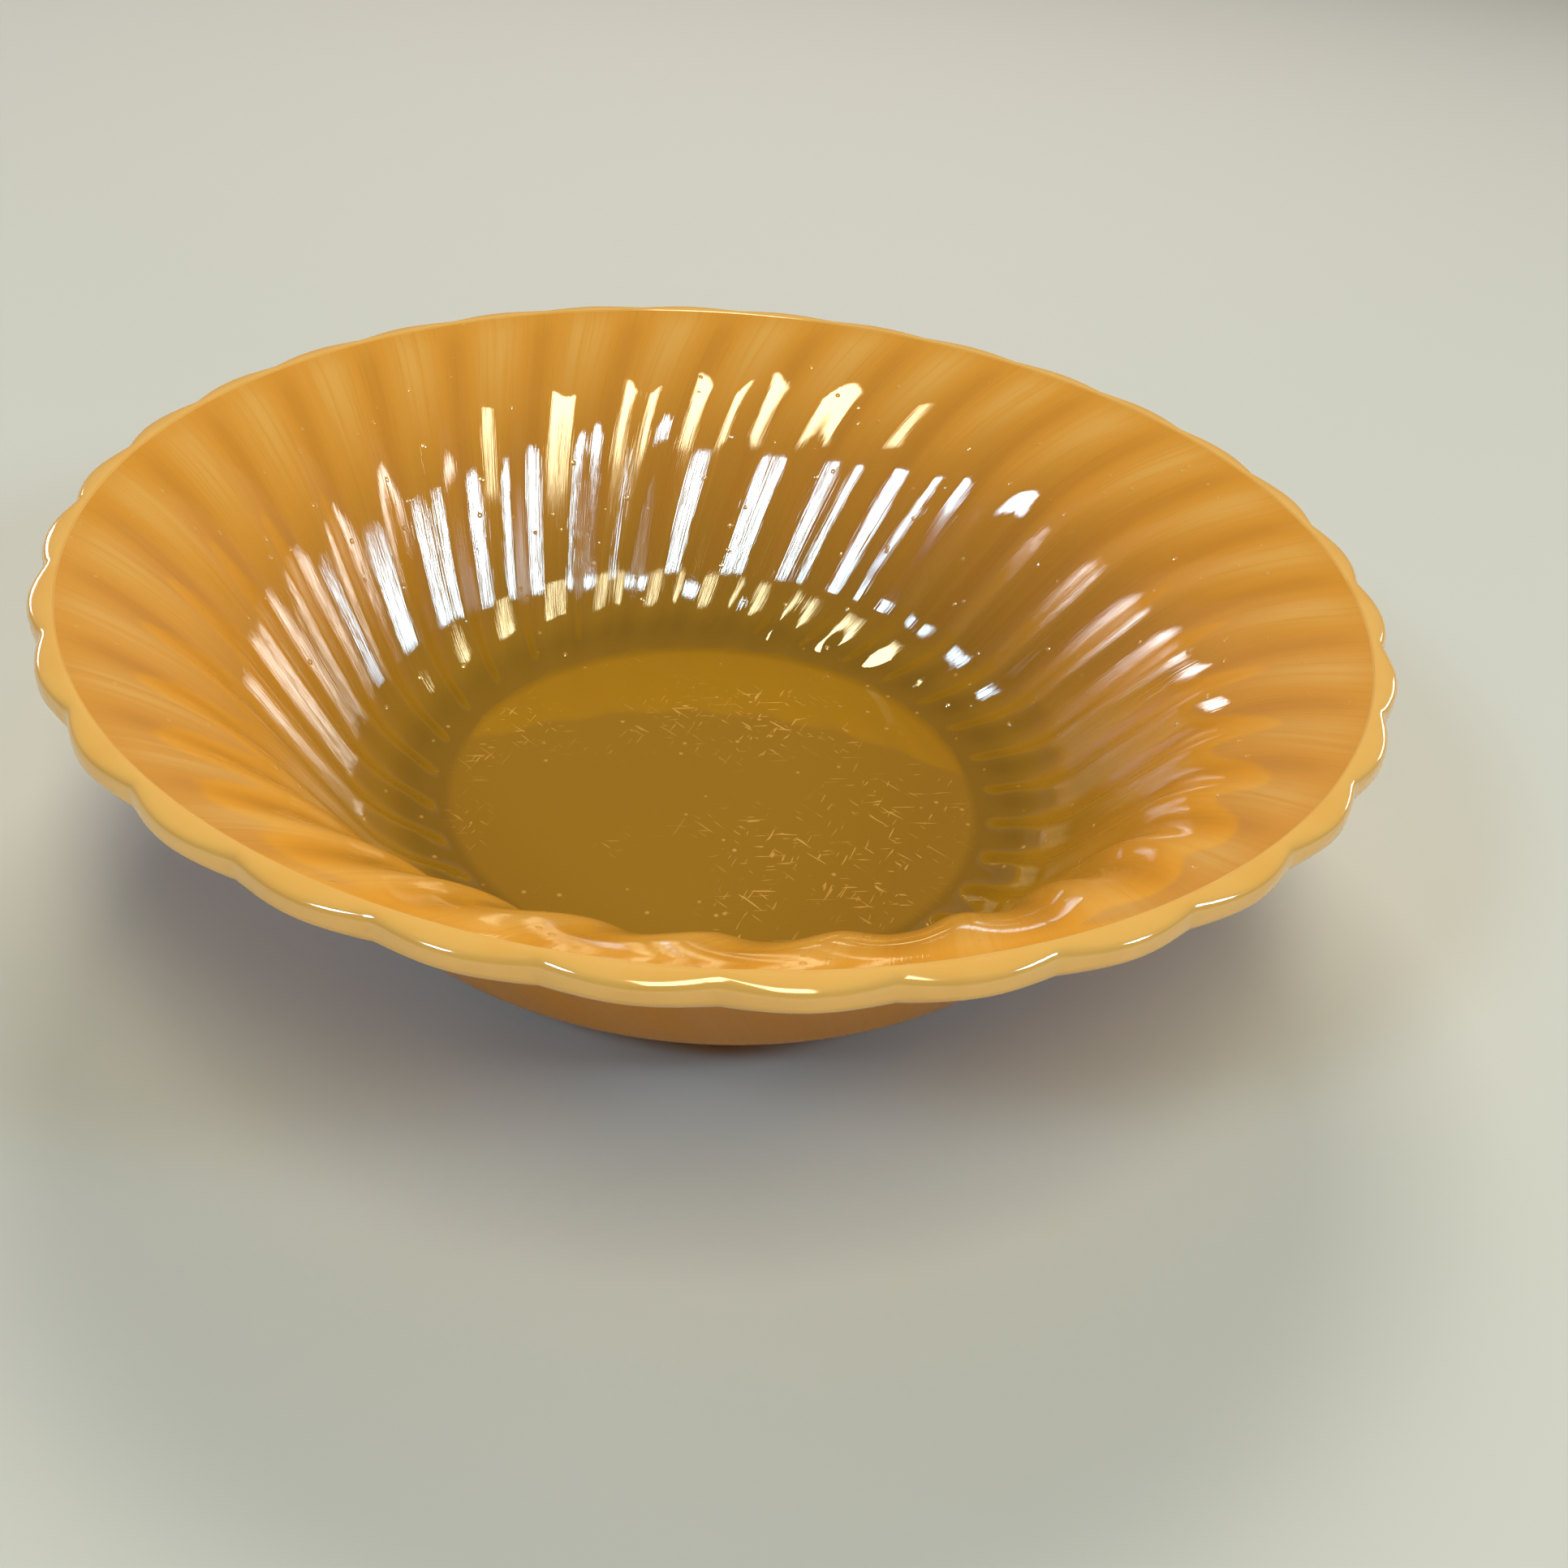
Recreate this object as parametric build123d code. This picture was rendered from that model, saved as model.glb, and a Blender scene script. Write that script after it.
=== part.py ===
from build123d import *

import os
from math import cos, pi, radians, sin

# One-piece pressed glass bowl: flat round well, ogee wall with swirling flutes inside, scalloped
# rim, smooth heel and a low foot ring. Millimetres, +Z up, origin at the centre of the
# resting plane.

# Overall sizes
SEAM_RADIUS = 104.0  # circle where the inside wall meets the rim's land
SEAM_HEIGHT = 58.0
WELL_DEPTH = 51.0  # from the seam down to the flat floor
FLOOR_RADIUS = 47.7

# Inside wall: a short curb round the floor, a knee arc, a straight run and a flaring arc
CURB_RADIUS = 15.0
CURB_ANGLE = 8.0
KNEE_RADIUS = 22.7
WALL_ANGLE = 57.0
MOUTH_ANGLE = 22.0

# Rim: a small bead along the seam and a land that rolls over into the upright outer edge
BEAD_RADIUS = 0.3
BEAD_ANGLE = 55.0
LAND_ANGLE = 15.0
LAND_ROUND = 0.35
EDGE_ROUND = 1.725
EDGE_HEIGHT = 1.6
EDGE_UNDER_ROUND = 1.6

# Outside wall
LIP_ANGLE = 24.0  # slope of the underside just inside the rim
OUTER_WALL_ANGLE = 59.0
HEEL_RADIUS = 16.0
HEEL = (69.0, 10.6)  # radius and height of the point where the heel slopes at 45 degrees
BELLY_ANGLE = 25.0

# Foot
FOOT_OUTER = 57.7
FOOT_INNER = 50.5
FOOT_ROUND = 1.0
RECESS_DEPTH = 2.0
RECESS_ROUND = 0.8

# Lobes of the rim, flutes inside and faint ribs outside, all on the same pitch
LOBES = 32
PITCH = 360.0 / LOBES
NOTCH_BEARING = 1.1  # of one notch of the rim
LOBE_HEIGHT = 1.5
LOBE_TOP = (104.6, 106.2)  # radii between which the lobes rise out of the land
LOBE_UNDER = 0.45  # share of the lobes left at the lip underneath
FLUTE_DEPTH = 1.5
RIDGE_SHARPNESS = 2.8
RIDGE_FOOT = (49.0, 56.0)  # radii between which the ridges rise out of the floor
RIDGE_HEAD = (SEAM_RADIUS, 78.0)  # radii between which they rise again coming down from the seam
RIB_DEPTH = 0.5
SWIRL = 20.5  # degrees that a flute turns on its way from the rim to the floor
SWIRL_POWER = 1.25
POINTS_PER_LOBE = 9


def fade(value, start, end):
    """Smooth rise from 0 at start to 1 at end."""
    share = max(0.0, min(1.0, (value - start) / (end - start)))
    return share * share * (3 - 2 * share)


class Pen:
    """Draws a profile as runs and bends, and keeps each station's place and heading."""

    def __init__(self, radius, height, heading):
        self.point = (radius, height)
        self.heading = heading
        self.stations = [(radius, height, heading)]

    def run(self, length, parts):
        r, z = self.point
        a = radians(self.heading)
        for i in range(1, parts + 1):
            self.point = (r + cos(a) * length * i / parts, z + sin(a) * length * i / parts)
            self.stations.append((*self.point, self.heading))

    def bend(self, radius, turn, parts):
        """Turns left by a positive angle and right by a negative one."""
        r, z = self.point
        side = 1 if turn > 0 else -1
        start = radians(self.heading)
        for i in range(1, parts + 1):
            now = radians(self.heading + turn * i / parts)
            across = side * radius * (sin(now) - sin(start))
            up = side * radius * (cos(start) - cos(now))
            self.point = (r + across, z + up)
            self.stations.append((*self.point, self.heading + turn * i / parts))
        self.heading += turn


def run_and_bend(across, up, slope, end_slope):
    """Length of the run and radius of the bend that together cover a distance."""
    a = radians(slope)
    b = radians(end_slope)
    reach = sin(a) - sin(b)
    rise = cos(b) - cos(a)
    radius = (across * sin(a) - up * cos(a)) / (reach * sin(a) - rise * cos(a))
    return (across - radius * reach) / cos(a), radius


def inside_stations():
    """From the edge of the flat floor up the inside to the seam."""
    pen = Pen(FLOOR_RADIUS, SEAM_HEIGHT - WELL_DEPTH, 0.0)
    pen.bend(CURB_RADIUS, CURB_ANGLE, 2)
    pen.bend(KNEE_RADIUS, WALL_ANGLE - CURB_ANGLE, 6)
    across = SEAM_RADIUS - pen.point[0]
    up = SEAM_HEIGHT - pen.point[1]
    length, radius = run_and_bend(across, up, WALL_ANGLE, MOUTH_ANGLE)
    pen.run(length, 3)
    pen.bend(radius, MOUTH_ANGLE - WALL_ANGLE, 6)
    return pen.stations


def rim_stations():
    """From the seam over the bead and the land and round the outer edge."""
    pen = Pen(SEAM_RADIUS, SEAM_HEIGHT, MOUTH_ANGLE)
    pen.bend(BEAD_RADIUS, BEAD_ANGLE - MOUTH_ANGLE, 1)
    pen.bend(LAND_ROUND, LAND_ANGLE - BEAD_ANGLE, 2)
    pen.bend(EDGE_ROUND, -90 - LAND_ANGLE, 7)
    pen.run(EDGE_HEIGHT, 1)
    pen.bend(EDGE_UNDER_ROUND, LIP_ANGLE - 90, 2)
    return pen.stations[1:]


def outside_stations(lip):
    """From the underside of the rim down the outside and round the heel to the foot's flat."""
    wall = radians(OUTER_WALL_ANGLE)
    middle = radians(45)
    top_of_heel = (
        HEEL[0] + HEEL_RADIUS * (sin(wall) - sin(middle)),
        HEEL[1] + HEEL_RADIUS * (cos(middle) - cos(wall)),
    )
    across = lip[0] - top_of_heel[0]
    up = lip[1] - top_of_heel[1]
    length, radius = run_and_bend(across, up, OUTER_WALL_ANGLE, LIP_ANGLE)
    pen = Pen(*lip, LIP_ANGLE - 180)
    pen.bend(radius, OUTER_WALL_ANGLE - LIP_ANGLE, 5)
    pen.run(length, 3)
    pen.bend(HEEL_RADIUS, BELLY_ANGLE - OUTER_WALL_ANGLE, 4)
    turn = radians(BELLY_ANGLE)
    to_foot = pen.point[0] - FOOT_OUTER - FOOT_ROUND * (1 - sin(turn))
    pen.run(to_foot / cos(turn), 2)
    pen.bend(FOOT_ROUND, 90 - BELLY_ANGLE, 2)
    pen.run(pen.point[1] - FOOT_ROUND, 1)
    pen.bend(FOOT_ROUND, -90, 2)
    return pen.stations[1:]


def swirl(radius):
    """Degrees by which the flutes have turned at this radius."""
    share = (SEAM_RADIUS - radius) / (SEAM_RADIUS - FLOOR_RADIUS)
    return SWIRL * max(0.0, min(1.0, share)) ** SWIRL_POWER


def ridge_height(radius):
    """Height of the ridges between the flutes, none at the floor and at the seam."""
    return FLUTE_DEPTH * fade(radius, *RIDGE_FOOT) * fade(radius, *RIDGE_HEAD)


def lobe_share(station, lip):
    """Share of the lobes' height: none at the seam, all at the outer edge, less underneath."""
    radius, height, heading = station
    if heading > -91:
        return fade(radius, *LOBE_TOP)
    under = (height - lip[1]) / EDGE_UNDER_ROUND
    return LOBE_UNDER + (1 - LOBE_UNDER) * max(0.0, min(1.0, under))


def ring(station, ridge, rib, lobe):
    """Closed wire round the axis, one spline for each lobe. Ridges and ribs stand out along the
    profile's normal, and lobes stand out from the axis between the notches."""
    radius, height, heading = station
    along = radians(heading)
    steps = [i / (POINTS_PER_LOBE - 1) for i in range(POINTS_PER_LOBE)]
    edges = []
    for number in range(LOBES):
        start = NOTCH_BEARING + swirl(radius) + PITCH * number
        points = []
        for step in steps:
            arch = sin(pi * step)
            out = ridge * arch**RIDGE_SHARPNESS + rib * arch
            reach = radius - out * sin(along) + lobe * arch
            bearing = radians(start + PITCH * step)
            lift = out * cos(along)
            points.append(Vector(reach * cos(bearing), reach * sin(bearing), height + lift))
        tangents = []
        for step, sign in ((0.0, 1.0), (1.0, -1.0)):
            bearing = radians(start + PITCH * step)
            outward = sign * pi * (lobe - rib * sin(along))
            round_axis = radians(PITCH) * radius
            tangents.append(
                Vector(
                    outward * cos(bearing) - round_axis * sin(bearing),
                    outward * sin(bearing) + round_axis * cos(bearing),
                    sign * pi * rib * cos(along),
                )
            )
        edges.append(Edge.make_spline(points, tangents=tangents, parameters=steps))
    return Wire(edges)


def body():
    """Loft from the floor up the inside, over the rim and down the outside to the foot."""
    rings = [ring(s, ridge_height(s[0]), 0.0, 0.0) for s in inside_stations()]
    rim = rim_stations()
    lip = rim[-1]
    for s in rim:
        rings.append(ring(s, 0.0, 0.0, LOBE_HEIGHT * lobe_share(s, lip)))
    for s in outside_stations(lip[:2]):
        near_lip = fade(s[0], 90, lip[0])
        rib = RIB_DEPTH * fade(s[0], HEEL[0], 84) * (1 - near_lip)
        rings.append(ring(s, 0.0, rib, LOBE_HEIGHT * LOBE_UNDER * near_lip))
    return Solid.make_loft(rings)


def recess():
    """Hollow under the base, which leaves the foot ring standing."""
    up = (Align.CENTER, Align.CENTER, Align.MIN)
    hollow = Cylinder(FOOT_INNER, RECESS_DEPTH, align=up)
    return fillet(hollow.edges().group_by(Axis.Z)[-1], RECESS_ROUND)


bowl = (body() - recess()).solid()
os.makedirs("parts", exist_ok=True)
export_step(bowl, "parts/bowl.step")
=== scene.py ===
"""Pressed lustre-glass bowl: one thick piece of opal glass with swirling flutes and a scalloped rim."""

from math import atan2, cos, hypot, pi, radians, sin

import bmesh
import bpy
from mathutils import Matrix, Vector


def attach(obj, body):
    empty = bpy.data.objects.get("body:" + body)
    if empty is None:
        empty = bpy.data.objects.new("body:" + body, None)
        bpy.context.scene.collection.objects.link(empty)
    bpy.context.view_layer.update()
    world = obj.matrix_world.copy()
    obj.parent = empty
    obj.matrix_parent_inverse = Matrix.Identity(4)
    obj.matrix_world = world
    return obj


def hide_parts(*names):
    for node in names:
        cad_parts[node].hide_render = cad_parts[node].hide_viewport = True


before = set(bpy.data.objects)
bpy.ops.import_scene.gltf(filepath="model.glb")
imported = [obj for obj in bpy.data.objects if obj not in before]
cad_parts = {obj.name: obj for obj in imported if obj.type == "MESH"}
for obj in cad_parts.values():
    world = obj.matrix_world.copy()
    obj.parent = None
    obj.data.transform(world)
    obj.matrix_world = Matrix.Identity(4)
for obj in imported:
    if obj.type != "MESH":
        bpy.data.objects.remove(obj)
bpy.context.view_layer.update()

bl_info = {
    "name": "Lustre glass bowl",
    "version": (1, 0, 0),
    "blender": (4, 5, 0),
    "location": "View3D > Sidebar > Bowl",
    "description": "Makes a pressed glass bowl with swirling flutes, and the stage it stands on",
    "category": "Add Mesh",
}

MM = 0.001
ORIGIN = (0.0, 0.0, 0.0)

# Inside profile of the glass: a curb round the floor, a knee, a straight run and a flaring mouth
CURB_ROUND = 15 * MM
CURB_ANGLE = radians(8)
KNEE_ROUND = 22.7 * MM
WALL_ANGLE = radians(57)
MOUTH_ANGLE = radians(22)

# Rim: a small bead along the seam, then a land that rolls over into the upright outer edge
BEAD_ROUND = 0.3 * MM
BEAD_ANGLE = radians(55)
LAND_ROUND = 0.35 * MM
LAND_ANGLE = radians(15)
EDGE_ROUND = 1.725 * MM
EDGE_HEIGHT = 1.6 * MM
EDGE_UNDER_ROUND = 1.6 * MM

# Outside profile: the underside of the rim, a straight wall, the heel and the belly under it
LIP_ANGLE = radians(24)
OUTER_WALL_ANGLE = radians(59)
HEEL_ROUND = 16 * MM
HEEL_SLOPE = radians(45)
HEEL_RADIUS = 69 * MM
HEEL_HEIGHT = 10.6 * MM
BELLY_ANGLE = radians(25)

# Foot ring and the recess inside it
FOOT_OUTER = 57.7 * MM
FOOT_INNER = 50.5 * MM
FOOT_ROUND = 1.0 * MM
RECESS_WALL = 1.2 * MM
RECESS_ROUND = 0.8 * MM

# Radii between which the ridges, ribs and lobes fade in and out
RIDGE_FOOT = (49 * MM, 56 * MM)
RIDGE_FULL = 78 * MM
RIB_FULL = 84 * MM
LIP_START = 90 * MM
LOBE_TOP = (104.6 * MM, 106.2 * MM)
LOBE_UNDER = 0.45
LIP_HEIGHT = 53.5 * MM
LIP_RISE = 1.5 * MM
SWIRL_POWER = 1.25
RIDGE_SHARPNESS = 2.8
STEPS_PER_LOBE = 16

# Finish
BLACK = (0.0, 0.0, 0.0, 1.0)
RIDGE_CREST = 0.56  # share of the pitch at which the painted light on the ridges is strongest
SCRATCH_DIRECTIONS = (0.15, 1.2, 2.4)
SCRATCH_SIZE = (4.5 * MM, 0.55 * MM, 8 * MM)

# Heights that part the materials
RIM_BOTTOM = 53 * MM
FOOT_TOP = 6 * MM

# Stage
FLOOR_SIZE = 8.0
LIGHT_TARGET = Vector((0.0, 0.0, 0.04))
ROOM_DARK = (0.09, 0.085, 0.08, 1.0)
ROOM_LIGHT = (1.0, 0.98, 0.94, 1.0)
CAMERA_PLACE = (0.0, -0.2461, 0.1879)
CAMERA_TURN = -0.0513
CAMERA_TILT = 0.6273
CAMERA_ROLL = 0.0976

# ------------------------------------------------------------------ sizes and colours


class BowlSizes(bpy.types.PropertyGroup):
    """Sizes that a glassmaker would change in the mould."""

    seam_radius: bpy.props.FloatProperty(
        name="Seam radius",
        description="Circle where the inside wall meets the rim's land",
        default=0.104,
        unit="LENGTH",
    )
    seam_height: bpy.props.FloatProperty(
        name="Seam height",
        description="Height of that circle above the table",
        default=0.058,
        unit="LENGTH",
    )
    well_depth: bpy.props.FloatProperty(
        name="Well depth",
        description="Depth of the flat floor below the seam",
        default=0.051,
        unit="LENGTH",
    )
    floor_radius: bpy.props.FloatProperty(
        name="Floor radius",
        description="Radius of the flat floor of the well",
        default=0.0477,
        unit="LENGTH",
    )
    lobe_count: bpy.props.IntProperty(
        name="Lobes",
        description="Number of lobes round the rim, one to each flute",
        default=32,
    )
    lobe_height: bpy.props.FloatProperty(
        name="Lobe height",
        description="How far a lobe stands out beyond the notches beside it",
        default=0.0015,
        unit="LENGTH",
    )
    ridge_height: bpy.props.FloatProperty(
        name="Ridge height",
        description="Height of the ridges between the flutes, half way up the wall",
        default=0.0015,
        unit="LENGTH",
    )
    rib_height: bpy.props.FloatProperty(
        name="Rib height",
        description="Height of the faint ribs outside",
        default=0.0005,
        unit="LENGTH",
    )
    swirl: bpy.props.FloatProperty(
        name="Swirl",
        description="Angle that a flute turns through on its way down to the floor",
        default=radians(20.5),
        subtype="ANGLE",
    )
    first_notch: bpy.props.FloatProperty(
        name="First notch",
        description="Bearing of one notch of the rim",
        default=radians(1.1),
        subtype="ANGLE",
    )


class LustreColours(bpy.types.PropertyGroup):
    """Colours of the fired lustre and of the glass under it; some of them are painted shade and painted
    light.
    """

    wall: bpy.props.FloatVectorProperty(
        name="Wall",
        description="Amber of the lustre on the upper wall",
        subtype="COLOR",
        size=3,
        default=(0.71, 0.307, 0.036),
    )
    # The well colour is the lustre's olive amber made darker: painted shade for the lesser light deep in
    # the bowl.
    well: bpy.props.FloatVectorProperty(
        name="Well",
        description="Olive amber of the lustre on the lower wall and the floor",
        subtype="COLOR",
        size=3,
        default=(0.315, 0.155, 0.008),
    )
    # The pale colour is also used for the painted light on the ridges near the rim.
    pale: bpy.props.FloatVectorProperty(
        name="Pale lustre",
        description="Thin lustre over pale glass, on the rim",
        subtype="COLOR",
        size=3,
        default=(0.78, 0.43, 0.115),
    )
    # The streak colour is also used for the painted shade in the hollows of the flutes.
    streak_and_hollow_shade: bpy.props.FloatVectorProperty(
        name="Streak",
        description="Brown of the fine streaks that run along the flutes",
        subtype="COLOR",
        size=3,
        default=(0.46, 0.17, 0.016),
    )
    outside: bpy.props.FloatVectorProperty(
        name="Outside",
        description="Amber of the lustre outside",
        subtype="COLOR",
        size=3,
        default=(0.74, 0.275, 0.008),
    )
    # The edge colour is painted light: a bright glow standing in for light shining through the pale glass
    # of the upright edge.
    edge: bpy.props.FloatVectorProperty(
        name="Edge",
        description="Glow of the pale glass in the upright edge of the rim",
        subtype="COLOR",
        size=3,
        default=(1.0, 0.5, 0.085),
    )


class StageSettings(bpy.types.PropertyGroup):
    """Floor, lights and camera."""

    floor_colour: bpy.props.FloatVectorProperty(
        name="Floor",
        description="Colour of the plain floor",
        subtype="COLOR",
        size=3,
        default=(0.56, 0.56, 0.57),
    )
    room_light: bpy.props.FloatProperty(
        name="Room light",
        description="Brightness of the plain surroundings",
        default=0.60,
        min=0.0,
    )
    lens: bpy.props.FloatProperty(
        name="Lens",
        description="Focal length of the camera",
        default=38.2,
        unit="CAMERA",
    )


# ------------------------------------------------------------------ modelling helpers


def start_piece():
    """Leaves edit mode and drops every selection, so that the next operator acts on its own piece."""
    if bpy.context.object and bpy.context.object.mode != "OBJECT":
        bpy.ops.object.mode_set(mode="OBJECT")
    bpy.ops.object.select_all(action="DESELECT")


def fade(value, start, end):
    """Smooth rise from 0 at start to 1 at end."""
    share = max(0.0, min(1.0, (value - start) / (end - start)))
    return share * share * (3 - 2 * share)


def run_and_bend(across, up, slope, end_slope):
    """Length of the run and radius of the bend that together cover a distance."""
    reach = sin(slope) - sin(end_slope)
    rise = cos(end_slope) - cos(slope)
    radius = (across * sin(slope) - up * cos(slope)) / (reach * sin(slope) - rise * cos(slope))
    return (across - radius * reach) / cos(slope), radius


class Outline:
    """One chain of edges in the XZ plane, drawn from its last point by runs and bends."""

    def __init__(self, height):
        start_piece()
        bpy.ops.mesh.primitive_plane_add(size=MM, location=ORIGIN)
        bpy.ops.object.mode_set(mode="EDIT")
        bpy.ops.mesh.select_mode(type="VERT")
        bpy.ops.mesh.select_all(action="SELECT")
        bpy.ops.mesh.merge(type="CENTER")
        bpy.ops.transform.translate(value=(0.0, 0.0, height))
        self.radius = 0.0
        self.height = height
        self.heading = 0.0
        self.side = "inside"
        self.stations = [(0.0, height, self.side)]

    def run(self, length, parts):
        """Straight on, in equal parts."""
        across = cos(self.heading) * length / parts
        up = sin(self.heading) * length / parts
        for _ in range(parts):
            bpy.ops.mesh.extrude_region_move(TRANSFORM_OT_translate={"value": (across, 0.0, up)})
            self.radius += across
            self.height += up
            self.stations.append((self.radius, self.height, self.side))

    def bend(self, radius, turn, parts):
        """An arc, to the left for a positive turn and to the right for a negative one."""
        side = 1 if turn > 0 else -1
        centre = (
            self.radius - side * radius * sin(self.heading),
            self.height + side * radius * cos(self.heading),
        )
        bpy.ops.mesh.spin(
            steps=parts, angle=turn, center=(centre[0], 0.0, centre[1]), axis=(0.0, 1.0, 0.0)
        )
        for part in range(1, parts + 1):
            now = self.heading + turn * part / parts
            self.radius = centre[0] + side * radius * sin(now)
            self.height = centre[1] - side * radius * cos(now)
            self.stations.append((self.radius, self.height, self.side))
        self.heading += turn


def select_verts(mesh, test):
    """Selects the vertices of the mesh in edit mode that pass the test."""
    work = bmesh.from_edit_mesh(mesh)
    for vertex in work.verts:
        vertex.select = test(vertex)
    work.select_flush_mode()
    bmesh.update_edit_mesh(mesh)


# ------------------------------------------------------------------ the glass body


def draw_bowl_outline(sizes):
    """Cut outline of the glass, from the middle of the floor, over the rim, to the middle of the base."""
    line = Outline(sizes.seam_height - sizes.well_depth)
    line.run(sizes.floor_radius, 6)
    line.bend(CURB_ROUND, CURB_ANGLE, 3)
    line.bend(KNEE_ROUND, WALL_ANGLE - CURB_ANGLE, 13)
    across = sizes.seam_radius - line.radius
    up = sizes.seam_height - line.height
    length, radius = run_and_bend(across, up, WALL_ANGLE, MOUTH_ANGLE)
    line.run(length, 7)
    line.bend(radius, MOUTH_ANGLE - WALL_ANGLE, 16)

    line.side = "rim"
    line.bend(BEAD_ROUND, BEAD_ANGLE - MOUTH_ANGLE, 3)
    line.bend(LAND_ROUND, LAND_ANGLE - BEAD_ANGLE, 3)
    line.bend(EDGE_ROUND, -LAND_ANGLE - radians(90), 10)
    line.run(EDGE_HEIGHT, 3)
    line.bend(EDGE_UNDER_ROUND, LIP_ANGLE - radians(90), 5)

    line.side = "outside"
    heel_top = (
        HEEL_RADIUS + HEEL_ROUND * (sin(OUTER_WALL_ANGLE) - sin(HEEL_SLOPE)),
        HEEL_HEIGHT + HEEL_ROUND * (cos(HEEL_SLOPE) - cos(OUTER_WALL_ANGLE)),
    )
    across = line.radius - heel_top[0]
    up = line.height - heel_top[1]
    length, radius = run_and_bend(across, up, OUTER_WALL_ANGLE, LIP_ANGLE)
    line.bend(radius, OUTER_WALL_ANGLE - LIP_ANGLE, 9)
    line.run(length, 4)
    line.bend(HEEL_ROUND, BELLY_ANGLE - OUTER_WALL_ANGLE, 7)

    line.side = "foot"
    to_foot = line.radius - FOOT_OUTER - FOOT_ROUND * (1 - sin(BELLY_ANGLE))
    line.run(to_foot / cos(BELLY_ANGLE), 2)
    line.bend(FOOT_ROUND, radians(90) - BELLY_ANGLE, 3)
    line.run(line.height - FOOT_ROUND, 1)
    line.bend(FOOT_ROUND, radians(-90), 4)
    line.run(line.radius - FOOT_INNER, 1)
    line.heading -= radians(90)
    line.run(RECESS_WALL, 1)
    line.bend(RECESS_ROUND, radians(90), 3)
    line.run(line.radius, 5)
    return line


def flute_swirl(sizes, radius):
    """Angle by which the flutes have turned at this radius."""
    share = (sizes.seam_radius - radius) / (sizes.seam_radius - sizes.floor_radius)
    return sizes.swirl * max(0.0, min(1.0, share)) ** SWIRL_POWER


def station_weights(sizes, station, lip_radius):
    """How strongly the ridges, ribs and lobes show at a station of the outline."""
    radius, height, side = station
    ridge = rib = lobe = 0.0
    if side == "inside":
        ridge = fade(radius, *RIDGE_FOOT) * fade(-radius, -sizes.seam_radius, -RIDGE_FULL)
    elif side == "rim" and height < LIP_HEIGHT + LIP_RISE:
        lobe = LOBE_UNDER + (1 - LOBE_UNDER) * max(0.0, height - LIP_HEIGHT) / LIP_RISE
    elif side == "rim":
        lobe = fade(radius, *LOBE_TOP)
    elif side == "outside":
        near_lip = fade(radius, LIP_START, lip_radius)
        lobe = LOBE_UNDER * near_lip
        rib = fade(radius, HEEL_RADIUS, RIB_FULL) * (1 - near_lip)
    return {"ridges": ridge, "ribs": rib, "lobes": lobe}


def displace(piece, group, strength, direction):
    """Pushes the vertices of a group out by their weight times the strength."""
    push = piece.modifiers.new(group, "DISPLACE")
    push.vertex_group = group
    push.strength = strength
    push.mid_level = 0.0
    push.direction = direction
    bpy.ops.object.modifier_apply(modifier=group)


def make_bowl_body(sizes):
    """One lobe's slice of the bowl, shaped, and copied round the axis."""
    line = draw_bowl_outline(sizes)
    pitch = 2 * pi / sizes.lobe_count
    bpy.ops.object.mode_set(mode="OBJECT")
    slice_piece = bpy.context.object
    mesh = slice_piece.data
    lip_radius = next(s[0] for s in reversed(line.stations) if s[2] == "rim")
    weights = [station_weights(sizes, s, lip_radius) for s in line.stations]
    groups = {name: slice_piece.vertex_groups.new(name=name) for name in weights[0]}
    for index, found in enumerate(weights):
        for name, weight in found.items():
            groups[name].add([index], weight, "REPLACE")

    bpy.ops.object.mode_set(mode="EDIT")
    for index, station in enumerate(line.stations):
        turn = flute_swirl(sizes, station[0])
        if station[0] > MM and turn > 0.0:
            select_verts(mesh, lambda vertex: vertex.index == index)
            bpy.ops.transform.rotate(value=-turn, orient_axis="Z", center_override=ORIGIN)
    bpy.ops.mesh.select_all(action="SELECT")
    bpy.ops.transform.rotate(value=pitch / 2, orient_axis="Z", center_override=ORIGIN)
    bpy.ops.mesh.spin(steps=STEPS_PER_LOBE, angle=-pitch, center=ORIGIN, axis=(0.0, 0.0, 1.0))
    bpy.ops.mesh.select_all(action="SELECT")
    bpy.ops.mesh.remove_doubles(threshold=0.01 * MM)
    bpy.ops.mesh.normals_make_consistent(inside=False)
    bpy.ops.object.mode_set(mode="OBJECT")

    for vertex in mesh.vertices:
        radius = hypot(vertex.co.x, vertex.co.y)
        if radius < MM:
            continue
        place = (atan2(vertex.co.y, vertex.co.x) - flute_swirl(sizes, radius)) / pitch + 0.5
        arch = sin(pi * max(0.0, min(1.0, place)))
        for name, power in (("ridges", RIDGE_SHARPNESS), ("ribs", 1.0), ("lobes", 1.0)):
            weight = groups[name].weight(vertex.index) * arch**power
            groups[name].add([vertex.index], weight, "REPLACE")
    displace(slice_piece, "ridges", sizes.ridge_height, "NORMAL")
    displace(slice_piece, "ribs", sizes.rib_height, "NORMAL")
    displace(slice_piece, "lobes", sizes.lobe_height, "X")

    bpy.ops.object.mode_set(mode="EDIT")
    bpy.ops.mesh.select_all(action="SELECT")
    half = pitch / 2 + sizes.first_notch
    bpy.ops.transform.rotate(value=-half, orient_axis="Z", center_override=ORIGIN)
    bpy.ops.mesh.spin(
        steps=sizes.lobe_count - 1,
        dupli=True,
        angle=pitch * (sizes.lobe_count - 1),
        center=ORIGIN,
        axis=(0.0, 0.0, 1.0),
    )
    bpy.ops.mesh.select_all(action="SELECT")
    bpy.ops.mesh.remove_doubles(threshold=0.02 * MM)
    bpy.ops.mesh.normals_make_consistent(inside=False)
    bpy.ops.mesh.faces_shade_smooth()
    bpy.ops.object.mode_set(mode="OBJECT")
    slice_piece.name = "bowl_glass"
    mesh.name = "bowl_glass"
    return slice_piece


# ------------------------------------------------------------------ materials


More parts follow.
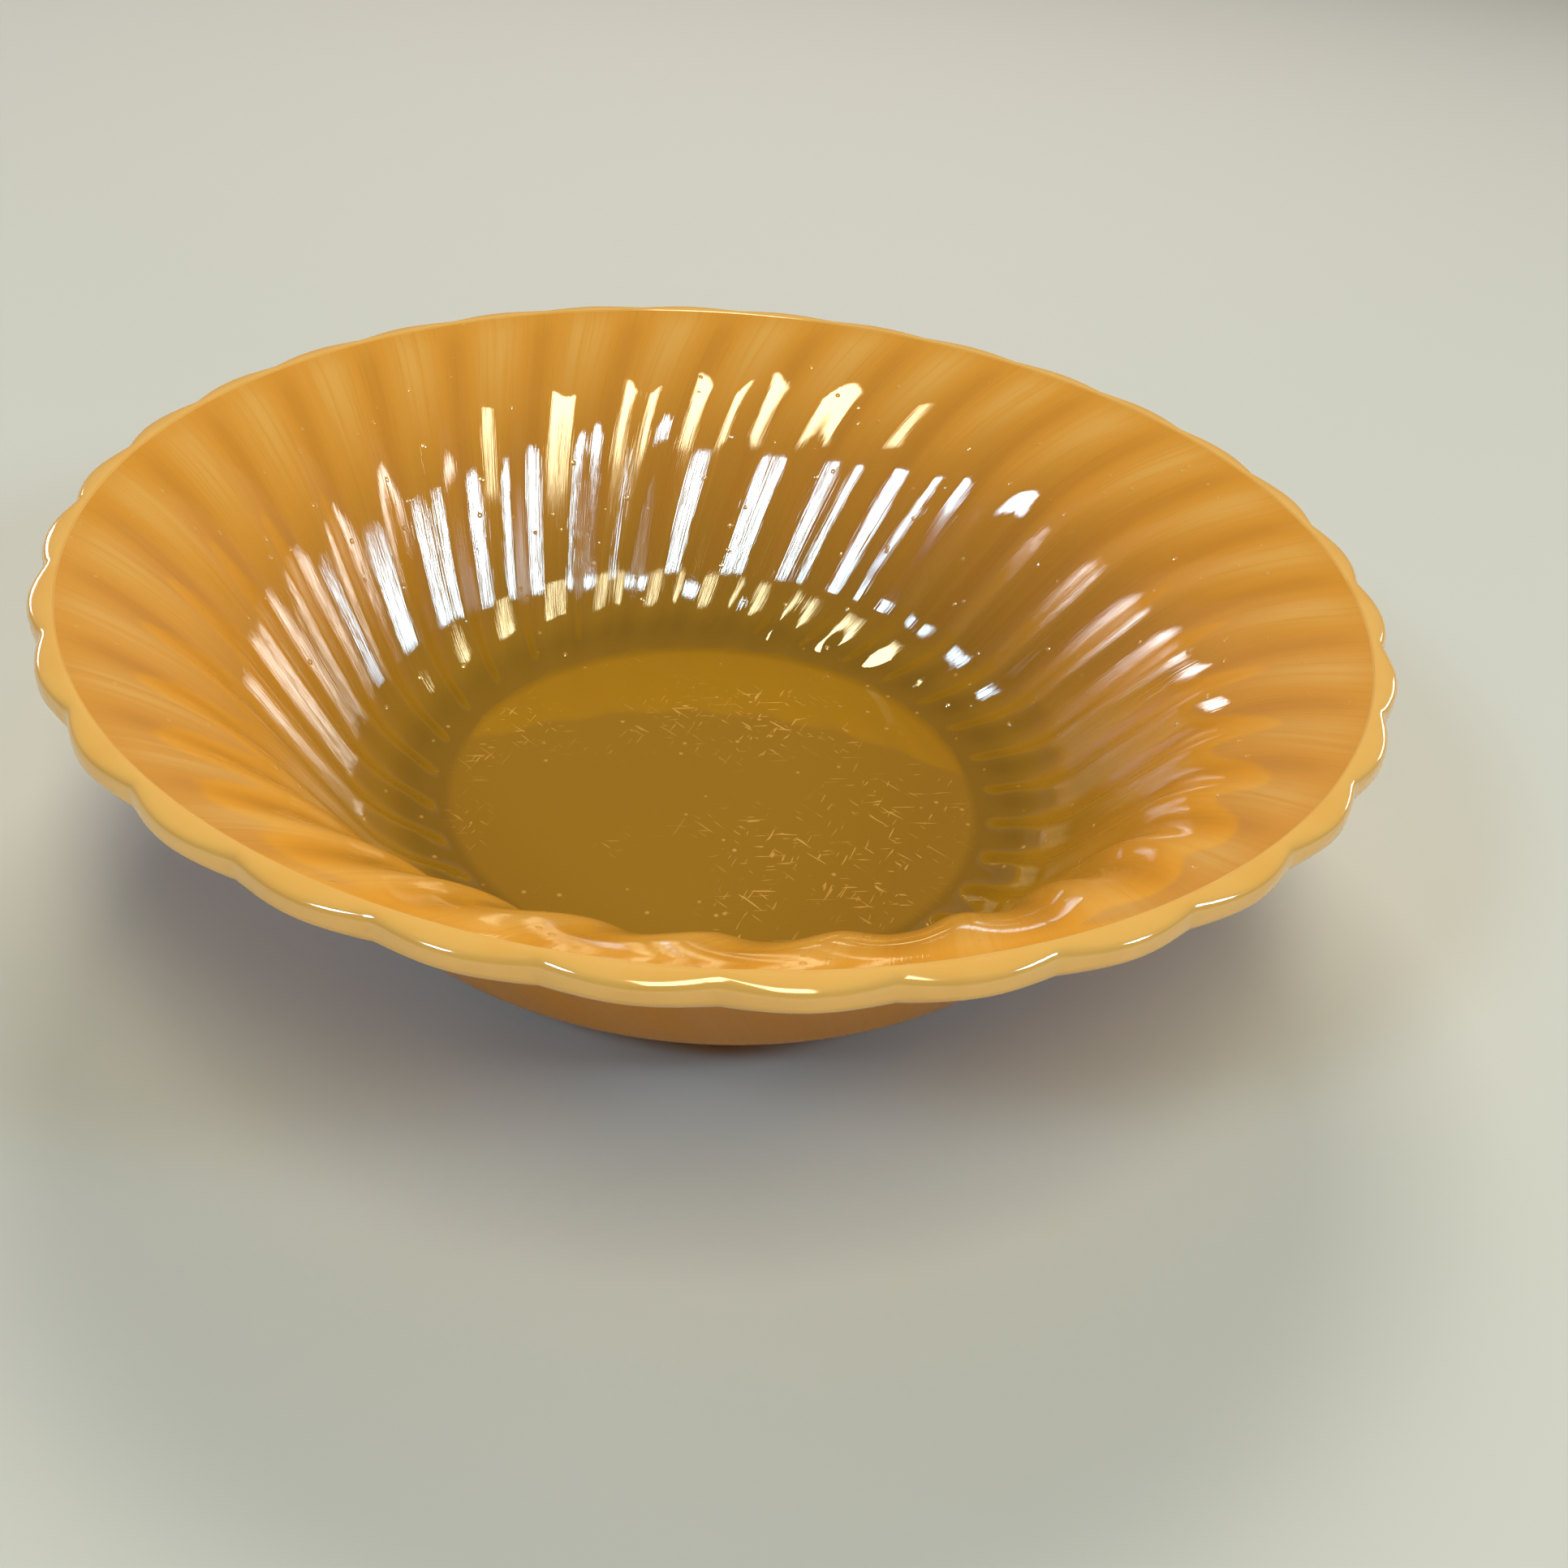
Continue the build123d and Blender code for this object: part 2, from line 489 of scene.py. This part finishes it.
class Nodes:
    """Places nodes in a tree from left to right and joins them."""

    def __init__(self, tree):
        self.tree = tree
        self.column = 0

    def add(self, kind, name="", **settings):
        node = self.tree.nodes.new(kind)
        node.label = name
        node.location = (self.column, 0)
        self.column += 180
        for key, value in settings.items():
            setattr(node, key, value)
        return node

    def feed(self, socket, value):
        """Joins an output to a socket, or sets the socket's own value."""
        if isinstance(value, bpy.types.NodeSocket):
            self.tree.links.new(value, socket)
        elif value is not None:
            socket.default_value = value

    def math(self, operation, first, second=None, clamp=False):
        node = self.add("ShaderNodeMath", operation=operation, use_clamp=clamp)
        for socket, value in zip(node.inputs, (first, second)):
            self.feed(socket, value)
        return node.outputs[0]

    def product(self, *factors):
        """All the factors multiplied together."""
        found = factors[0]
        for factor in factors[1:]:
            found = self.math("MULTIPLY", found, factor)
        return found

    def ramp(self, value, low, high, to_low=0.0, to_high=1.0):
        """Eases from to_low at low to to_high at high, and holds the ends."""
        node = self.add("ShaderNodeMapRange", interpolation_type="SMOOTHSTEP")
        for socket, part in zip(node.inputs[:5], (value, low, high, to_low, to_high)):
            self.feed(socket, part)
        return node.outputs[0]

    def mix(self, share, first, second):
        """Colour between the first and the second, by the second's share."""
        node = self.add("ShaderNodeMix", data_type="RGBA")
        self.feed(node.inputs[0], share)
        self.feed(node.inputs[6], first)
        self.feed(node.inputs[7], second)
        return node.outputs[2]

    def noise(self, vector, scale, detail=2.0, roughness=0.5, distortion=0.0):
        node = self.add("ShaderNodeTexNoise")
        self.feed(node.inputs["Vector"], vector)
        self.feed(node.inputs["Scale"], scale)
        self.feed(node.inputs["Detail"], detail)
        self.feed(node.inputs["Roughness"], roughness)
        self.feed(node.inputs["Distortion"], distortion)
        return node.outputs[0]


def rgba(colour):
    """Colour with full opacity."""
    return (colour[0], colour[1], colour[2], 1.0)


def new_group(name, inputs, outputs):
    """Empty shader node group with named sockets: kind and default for inputs, kind for outputs."""
    tree = bpy.data.node_groups.new(name, "ShaderNodeTree")
    for label, kind, default in inputs:
        socket = tree.interface.new_socket(name=label, in_out="INPUT", socket_type=kind)
        socket.default_value = default
    for label, kind in outputs:
        tree.interface.new_socket(name=label, in_out="OUTPUT", socket_type=kind)
    nodes = Nodes(tree)
    start = nodes.add("NodeGroupInput")
    end = nodes.add("NodeGroupOutput")
    return tree, nodes, start, end


def polar_nodes(nodes):
    """Radius, bearing and height of a point on the bowl."""
    split = nodes.add("ShaderNodeSeparateXYZ")
    nodes.feed(split.inputs[0], nodes.add("ShaderNodeTexCoord").outputs["Object"])
    east, north, height = split.outputs
    square = nodes.math("ADD", nodes.product(east, east), nodes.product(north, north))
    return nodes.math("SQRT", square), nodes.math("ARCTAN2", north, east), height


def swirl_nodes(nodes, sizes, radius):
    """The flutes' turn at a radius, as nodes."""
    span = sizes.seam_radius - sizes.floor_radius
    share = nodes.math("DIVIDE", nodes.math("SUBTRACT", sizes.seam_radius, radius), span, clamp=True)
    return nodes.product(nodes.math("POWER", share, SWIRL_POWER), sizes.swirl)


def place_group(sizes):
    """Where a point lies on the bowl: its radius, its height and its place across its flute."""
    tree, nodes, start, end = new_group(
        "Bowl Place",
        [],
        [("Radius", "NodeSocketFloat"), ("Height", "NodeSocketFloat"), ("Flute", "NodeSocketFloat")],
    )
    radius, bearing, height = polar_nodes(nodes)
    turned = nodes.math("SUBTRACT", bearing, swirl_nodes(nodes, sizes, radius))
    turned = nodes.math("SUBTRACT", turned, sizes.first_notch)
    pitch = 2 * pi / sizes.lobe_count
    nodes.feed(end.inputs["Flute"], nodes.math("FRACT", nodes.math("DIVIDE", turned, pitch)))
    nodes.feed(end.inputs["Radius"], radius)
    nodes.feed(end.inputs["Height"], height)
    return tree


def streak_group(sizes):
    """Noise drawn out along the flutes."""
    tree, nodes, start, end = new_group(
        "Flute Streaks",
        [("Across", "NodeSocketFloat", 60.0), ("Along", "NodeSocketFloat", 20.0)],
        [("Streak", "NodeSocketFloat")],
    )
    radius, bearing, _ = polar_nodes(nodes)
    turned = nodes.math("SUBTRACT", bearing, swirl_nodes(nodes, sizes, radius))
    spread = start.outputs["Across"]
    place = nodes.add("ShaderNodeCombineXYZ")
    nodes.feed(place.inputs[0], nodes.product(nodes.math("COSINE", turned), spread))
    nodes.feed(place.inputs[1], nodes.product(nodes.math("SINE", turned), spread))
    nodes.feed(place.inputs[2], nodes.product(radius, start.outputs["Along"]))
    nodes.feed(end.inputs["Streak"], nodes.noise(place.outputs[0], 1.0, 3.0, 0.55))
    return tree


def scratch_group():
    """Short fine strokes in three directions, thicker in some patches than in others."""
    tree, nodes, start, end = new_group(
        "Table Scratches", [("Amount", "NodeSocketFloat", 0.7)], [("Scratch", "NodeSocketFloat")]
    )
    point = nodes.add("ShaderNodeTexCoord").outputs["Object"]
    found = 0.0
    for angle in SCRATCH_DIRECTIONS:
        turned = nodes.add("ShaderNodeMapping", vector_type="TEXTURE")
        nodes.feed(turned.inputs["Vector"], point)
        nodes.feed(turned.inputs["Location"], (angle, 0.0, 0.0))
        nodes.feed(turned.inputs["Rotation"], (0.0, 0.0, angle))
        nodes.feed(turned.inputs["Scale"], SCRATCH_SIZE)
        stroke = nodes.noise(turned.outputs[0], 1.0, 0.0, 0.5, 0.6)
        found = nodes.math("MAXIMUM", nodes.ramp(stroke, start.outputs["Amount"], 0.80), found)
    patch = nodes.ramp(nodes.noise(point, 45.0, 2.0), 0.45, 0.65)
    nodes.feed(end.inputs["Scratch"], nodes.product(found, patch))
    return tree


def speck_group():
    """Small round pimples left by dust under the lustre. Share is the part of the cells left smooth."""
    tree, nodes, start, end = new_group(
        "Lustre Specks",
        [("Scale", "NodeSocketFloat", 260.0), ("Share", "NodeSocketFloat", 0.9)],
        [("Speck", "NodeSocketFloat")],
    )
    cells = nodes.add("ShaderNodeTexVoronoi")
    nodes.feed(cells.inputs["Vector"], nodes.add("ShaderNodeTexCoord").outputs["Object"])
    nodes.feed(cells.inputs["Scale"], start.outputs["Scale"])
    split = nodes.add("ShaderNodeSeparateColor")
    nodes.feed(split.inputs[0], cells.outputs["Color"])
    chosen = nodes.math("GREATER_THAN", split.outputs[0], start.outputs["Share"])
    dot = nodes.ramp(cells.outputs["Distance"], 0.04, 0.13, 1.0, 0.0)
    nodes.feed(end.inputs["Speck"], nodes.product(dot, chosen))
    return tree


def group_node(nodes, tree, **values):
    """Node of a group, with its inputs set."""
    node = nodes.add("ShaderNodeGroup", tree.name)
    node.node_tree = tree
    for name, value in values.items():
        nodes.feed(node.inputs[name], value)
    return node


def new_material(name):
    """Empty material with a joined shader, and the nodes to fill it."""
    material = bpy.data.materials.new(name)
    material.use_nodes = True
    material.node_tree.nodes.clear()
    nodes = Nodes(material.node_tree)
    shader = nodes.add("ShaderNodeBsdfPrincipled")
    output = nodes.add("ShaderNodeOutputMaterial")
    nodes.feed(output.inputs["Surface"], shader.outputs[0])
    return material, nodes, shader


def lustre_inside(colours, groups):
    """Fired lustre on the inside: amber above, olive amber darkened by painted shade in the well, streaked
    along the flutes.
    """
    material, nodes, shader = new_material("lustre_inside")
    place = group_node(nodes, groups["place"])
    radius = place.outputs["Radius"]
    coarse = group_node(nodes, groups["streaks"], Across=70.0, Along=25.0).outputs[0]
    fine = group_node(nodes, groups["streaks"], Across=260.0, Along=60.0).outputs[0]
    scratch = group_node(nodes, groups["scratches"], Amount=0.74).outputs[0]
    speck = group_node(nodes, groups["specks"], Scale=230.0, Share=0.3).outputs[0]
    on_floor = nodes.ramp(radius, 44 * MM, 50 * MM, 1.0, 0.0)
    on_wall = nodes.ramp(radius, 56 * MM, 72 * MM)
    off_ridge = nodes.math("ABSOLUTE", nodes.math("SUBTRACT", place.outputs["Flute"], RIDGE_CREST))

    # The lustre is amber on the wall and olive amber in the well, made darker there as painted shade for
    # the lesser light deep in the bowl.
    base = nodes.mix(nodes.ramp(radius, 55 * MM, 88 * MM), rgba(colours.well), rgba(colours.wall))
    # The curb round the floor is darkest: the black mixed in there is painted shade in that crease.
    curb_start = nodes.ramp(radius, 46.5 * MM, 49 * MM)
    curb_end = nodes.ramp(radius, 54 * MM, 60 * MM, 0.22, 0.0)
    base = nodes.mix(nodes.product(curb_start, curb_end), base, BLACK)

    # Fine dark streaks and broad pale ones run along the flutes.
    dark = nodes.product(nodes.ramp(fine, 0.52, 0.75), on_wall, 0.25)
    base = nodes.mix(dark, base, rgba(colours.streak_and_hollow_shade))
    light = nodes.product(nodes.ramp(coarse, 0.5, 0.75, 0.0, 0.12), on_wall)
    base = nodes.mix(light, base, rgba(colours.pale))

    # Near the rim the ridges get painted light in the pale colour, and the hollows of the wall get painted
    # shade in the streak colour, standing in for the light and shade of the flutes.
    near_rim = nodes.product(
        nodes.ramp(radius, 80 * MM, 97 * MM), nodes.ramp(radius, 99 * MM, 104 * MM, 1.0, 0.5)
    )
    painted_ridge_light = nodes.product(nodes.ramp(off_ridge, 0.05, 0.36, 0.6, 0.0), near_rim)
    base = nodes.mix(
        nodes.product(painted_ridge_light, nodes.ramp(coarse, 0.3, 0.55, 0.3, 1.0)), base, rgba(colours.pale)
    )
    painted_hollow_shade = nodes.product(
        nodes.ramp(off_ridge, 0.30, 0.48, 0.0, 0.30),
        nodes.ramp(radius, 58 * MM, 70 * MM),
        nodes.ramp(radius, 98 * MM, 104 * MM, 1.0, 0.3),
    )
    base = nodes.mix(painted_hollow_shade, base, rgba(colours.streak_and_hollow_shade))

    # The floor is scratched, and there are specks all over.
    scratched = nodes.product(scratch, on_floor)
    base = nodes.mix(nodes.product(scratched, 0.6), base, rgba(colours.pale))
    base = nodes.mix(nodes.product(speck, 0.5), base, rgba(colours.pale))
    rough = nodes.math("ADD", nodes.ramp(fine, 0.3, 0.8, 0.02, 0.07), nodes.product(scratched, 0.08))
    nodes.feed(shader.inputs["Base Color"], base)
    nodes.feed(shader.inputs["Roughness"], rough)
    nodes.feed(shader.inputs["IOR"], 2.3)

    # Its surface is faintly lined along the flutes, most strongly low on the wall, and specks stand out.
    bump = nodes.add("ShaderNodeBump")
    nodes.feed(bump.inputs["Strength"], 0.25)
    nodes.feed(bump.inputs["Distance"], 0.15 * MM)
    lined = nodes.product(
        nodes.ramp(radius, 56 * MM, 62 * MM), nodes.ramp(radius, 74 * MM, 86 * MM, 1.8, 0.3)
    )
    relief = nodes.math("ADD", nodes.product(fine, lined), nodes.product(speck, 5.0))
    nodes.feed(bump.inputs["Height"], relief)
    nodes.feed(shader.inputs["Normal"], bump.outputs[0])
    return material


def opal_rim(colours, groups):
    """Land and edge of the rim, where the lustre is thin over the pale glass, with a painted glow in the
    upright edge.
    """
    material, nodes, shader = new_material("opal_rim")
    height = group_node(nodes, groups["place"]).outputs["Height"]
    mottle = nodes.noise(nodes.add("ShaderNodeTexCoord").outputs["Object"], 90.0, 3.0)
    above_lip = nodes.ramp(height, 53.4 * MM, 55 * MM)
    # The upright edge is mixed towards the edge colour, a painted glow standing in for light through the
    # pale glass.
    edge = nodes.product(nodes.ramp(height, 56.4 * MM, 57.6 * MM, 1.0, 0.0), above_lip)
    base = nodes.mix(above_lip, rgba(colours.outside), rgba(colours.pale))
    base = nodes.mix(edge, base, rgba(colours.edge))
    base = nodes.mix(nodes.ramp(mottle, 0.4, 0.7, 0.0, 0.2), base, rgba(colours.wall))
    nodes.feed(shader.inputs["Base Color"], base)
    nodes.feed(shader.inputs["Roughness"], nodes.ramp(mottle, 0.3, 0.8, 0.07, 0.12))
    nodes.feed(shader.inputs["IOR"], 2.0)
    return material


def lustre_outside(colours, groups):
    """Duller lustre outside, with broad faint streaks."""
    material, nodes, shader = new_material("lustre_outside")
    coarse = group_node(nodes, groups["streaks"], Across=70.0, Along=25.0).outputs[0]
    light = nodes.ramp(coarse, 0.35, 0.7, 0.0, 0.25)
    nodes.feed(shader.inputs["Base Color"], nodes.mix(light, rgba(colours.outside), rgba(colours.wall)))
    nodes.feed(shader.inputs["Roughness"], nodes.ramp(coarse, 0.3, 0.8, 0.12, 0.22))
    nodes.feed(shader.inputs["IOR"], 1.12)
    return material


def on_rim(sizes, centre):
    """Whether a face's centre lies on the rim's land or edge."""
    return centre.z > RIM_BOTTOM and hypot(centre.x, centre.y) > sizes.seam_radius


def on_outside(sizes, centre, normal):
    """Whether a face lies on the outside wall or on the foot."""
    under = normal.z < 0.0 and not on_rim(sizes, centre)
    return under or centre.z < FOOT_TOP


def paint(piece, sizes, inside, rim, outside):
    """Gives each face of the bowl one of the three materials."""
    for material in (inside, rim, outside):
        piece.data.materials.append(material)
    for face in piece.data.polygons:
        if on_outside(sizes, face.center, face.normal):
            face.material_index = 2
        elif on_rim(sizes, face.center):
            face.material_index = 1


# ------------------------------------------------------------------ operators


class BOWL_OT_make_bowl(bpy.types.Operator):
    """Make the glass bowl from the sizes and colours of the panel"""

    bl_idname = "bowl.make_bowl"
    bl_label = "Make Bowl"

    def execute(self, context):
        sizes = context.scene.bowl_sizes
        colours = context.scene.bowl_colours
        piece = make_bowl_body(sizes)
        groups = {
            "place": place_group(sizes),
            "streaks": streak_group(sizes),
            "scratches": scratch_group(),
            "specks": speck_group(),
        }
        paint(
            piece,
            sizes,
            lustre_inside(colours, groups),
            opal_rim(colours, groups),
            lustre_outside(colours, groups),
        )
        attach(piece, "root")
        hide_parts("bowl")
        return {"FINISHED"}


def add_panel_light(name, bearing, elevation, distance, size, power, colour):
    """Rectangular soft light facing the bowl. Its bearing is 0 behind the camera and grows to the right."""
    turn = radians(bearing)
    rise = radians(elevation)
    way = Vector((sin(turn) * cos(rise), -cos(turn) * cos(rise), sin(rise)))
    light = bpy.data.lights.new(name, "AREA")
    light.shape = "RECTANGLE"
    light.size = size[0]
    light.size_y = size[1]
    light.energy = power
    light.color = colour
    lamp = bpy.data.objects.new(name, light)
    lamp.location = LIGHT_TARGET + way * distance
    lamp.rotation_euler = (-way).to_track_quat("-Z", "Y").to_euler()
    bpy.context.scene.collection.objects.link(lamp)
    return lamp


def make_room(settings):
    """Dim plain surroundings, a little lighter low down beyond the bowl."""
    world = bpy.data.worlds.new("room")
    world.use_nodes = True
    nodes = Nodes(world.node_tree)
    toward = nodes.add("ShaderNodeSeparateXYZ")
    nodes.feed(toward.inputs[0], nodes.add("ShaderNodeTexCoord").outputs["Generated"])
    low_down = nodes.ramp(toward.outputs["Z"], 0.46, 0.54, 1.0, 0.0)
    beyond = nodes.ramp(toward.outputs["Y"], -0.4, 0.4)
    share = nodes.product(low_down, beyond, 0.12)
    background = world.node_tree.nodes["Background"]
    nodes.feed(background.inputs["Color"], nodes.mix(share, ROOM_DARK, ROOM_LIGHT))
    nodes.feed(background.inputs["Strength"], settings.room_light)
    return world


def make_camera(settings):
    """Camera in front of the bowl and above it, tilted down and turned a little."""
    camera_data = bpy.data.cameras.new("camera")
    camera_data.lens = settings.lens
    camera_data.clip_start = 0.01
    camera = bpy.data.objects.new("camera", camera_data)
    turn = Matrix.Rotation(CAMERA_TURN, 3, "Z") @ Matrix.Rotation(pi / 2 - CAMERA_TILT, 3, "X")
    turn = turn @ Matrix.Rotation(CAMERA_ROLL, 3, "Z")
    camera.location = CAMERA_PLACE
    camera.rotation_euler = turn.to_euler()
    bpy.context.scene.collection.objects.link(camera)
    return camera


class BOWL_OT_make_stage(bpy.types.Operator):
    """Make the floor, the lights and the camera"""

    bl_idname = "bowl.make_stage"
    bl_label = "Make Stage"

    def execute(self, context):
        scene = context.scene
        settings = scene.bowl_stage
        start_piece()
        bpy.ops.mesh.primitive_plane_add(size=FLOOR_SIZE, location=ORIGIN)
        table = context.object
        table.name = "floor"
        material, nodes, shader = new_material("floor")
        nodes.feed(shader.inputs["Base Color"], rgba(settings.floor_colour))
        nodes.feed(shader.inputs["Roughness"], 0.6)
        table.data.materials.append(material)

        add_panel_light(
            "overhead", bearing=10, elevation=65, distance=1.2,
            size=(0.34, 0.76), power=7.2, colour=(1.0, 0.93, 0.56),
        )
        add_panel_light(
            "window_left", bearing=-47, elevation=40, distance=1.5,
            size=(0.28, 0.28), power=6.5, colour=(0.62, 0.86, 1.0),
        )
        add_panel_light(
            "window_right", bearing=70, elevation=33, distance=1.5,
            size=(0.28, 0.28), power=6.5, colour=(0.62, 0.86, 1.0),
        )
        add_panel_light(
            "side_left", bearing=-131, elevation=13, distance=1.3,
            size=(0.42, 0.14), power=1.4, colour=(0.94, 0.96, 1.0),
        )
        add_panel_light(
            "side_right", bearing=124, elevation=14, distance=1.3,
            size=(0.42, 0.14), power=1.4, colour=(1.0, 0.95, 0.84),
        )
        fill = add_panel_light(
            "fill", bearing=180, elevation=50, distance=1.3,
            size=(0.6, 0.4), power=10.5, colour=(1.0, 0.92, 0.74),
        )
        fill.visible_glossy = False

        scene.world = make_room(settings)
        scene.view_settings.view_transform = "Standard"
        scene.camera = make_camera(settings)
        return {"FINISHED"}


class BOWL_PT_panel(bpy.types.Panel):
    """Sidebar panel of the bowl"""

    bl_idname = "BOWL_PT_panel"
    bl_label = "Bowl"
    bl_space_type = "VIEW_3D"
    bl_region_type = "UI"
    bl_category = "Bowl"

    def draw(self, context):
        layout = self.layout
        scene = context.scene
        for settings in (scene.bowl_sizes, scene.bowl_colours, scene.bowl_stage):
            box = layout.box()
            for name in settings.bl_rna.properties.keys():
                if name not in ("rna_type", "name"):
                    box.prop(settings, name)
        for operator in (BOWL_OT_make_bowl, BOWL_OT_make_stage):
            layout.operator(operator.bl_idname)


CLASSES = (
    BowlSizes,
    LustreColours,
    StageSettings,
    BOWL_OT_make_bowl,
    BOWL_OT_make_stage,
    BOWL_PT_panel,
)


def register():
    for item in CLASSES:
        bpy.utils.register_class(item)
    bpy.types.Scene.bowl_sizes = bpy.props.PointerProperty(type=BowlSizes)
    bpy.types.Scene.bowl_colours = bpy.props.PointerProperty(type=LustreColours)
    bpy.types.Scene.bowl_stage = bpy.props.PointerProperty(type=StageSettings)


def unregister():
    del bpy.types.Scene.bowl_sizes
    del bpy.types.Scene.bowl_colours
    del bpy.types.Scene.bowl_stage
    for item in reversed(CLASSES):
        bpy.utils.unregister_class(item)


def main():
    register()
    bpy.ops.bowl.make_bowl()
    bpy.ops.bowl.make_stage()


if __name__ == "__main__":
    main()
